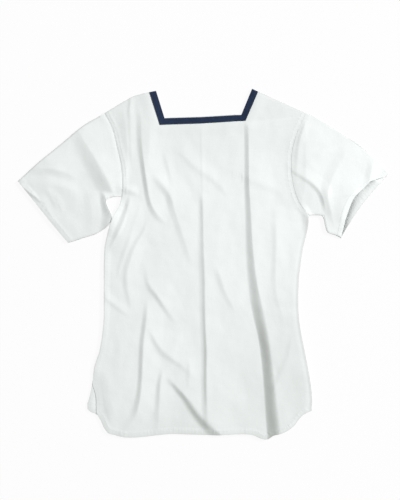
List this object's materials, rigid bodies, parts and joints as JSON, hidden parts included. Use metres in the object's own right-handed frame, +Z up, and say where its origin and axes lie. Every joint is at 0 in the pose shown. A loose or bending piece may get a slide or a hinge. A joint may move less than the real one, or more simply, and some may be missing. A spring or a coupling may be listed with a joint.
{
  "type": "square-necked uniform shirt laid flat",
  "caption": "Short-sleeved white drill uniform shirt with a square neck edged in navy tape and a curved hem, laid flat on its back.",
  "frame": {"origin": "on the surface it lies on, under the middle of the whole garment's length and span", "axes": "+X across the shirt towards the viewer's right, +Y up the shirt towards the neck, +Z up from the surface through the back and then the front"},
  "size_m": [0.742, 0.701, 0.0156],
  "materials": {
    "drill": "matt white cotton drill with a fine diagonal twill",
    "tape": "matt navy cotton tape"
  },
  "bodies": {
    "root": {"back": "drill", "front": "drill", "sleeve_left": "drill", "sleeve_right": "drill", "neck_tape_front": "tape", "neck_tape_back": "tape"}
  },
  "joints": []
}
